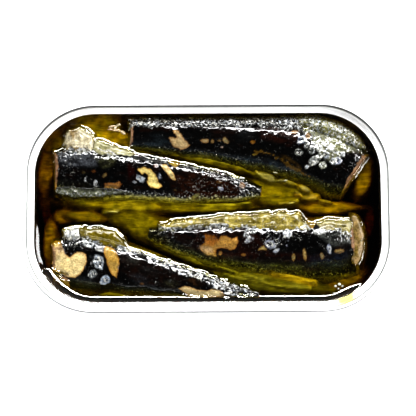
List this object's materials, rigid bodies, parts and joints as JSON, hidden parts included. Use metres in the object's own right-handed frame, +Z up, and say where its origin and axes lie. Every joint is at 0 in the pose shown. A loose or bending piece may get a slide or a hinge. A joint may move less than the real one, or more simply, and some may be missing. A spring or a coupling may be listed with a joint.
{
  "type": "sardine tin",
  "caption": "Opened oblong tin with a seamed rim and the narrow ledge its peeled lid left, holding headless sardines in olive oil.",
  "frame": {"origin": "middle of the tin in plan, on the surface it stands on", "axes": "+Z up, +X along the tin's length towards the head cut of the two right-hand fish, +Y across it towards the back"},
  "size_m": [0.105, 0.06, 0.028],
  "materials": {
    "tin": "bright satin, drawn sheet",
    "rim": "bright satin",
    "fish": "wet fish skin, oily",
    "oil": "clear olive oil, still"
  },
  "bodies": {
    "root": {"tin_body": "tin", "lid_rim": "rim", "sardine_1": "fish", "sardine_2": "fish", "sardine_3": "fish", "sardine_4": "fish", "oil": "oil"}
  },
  "joints": []
}
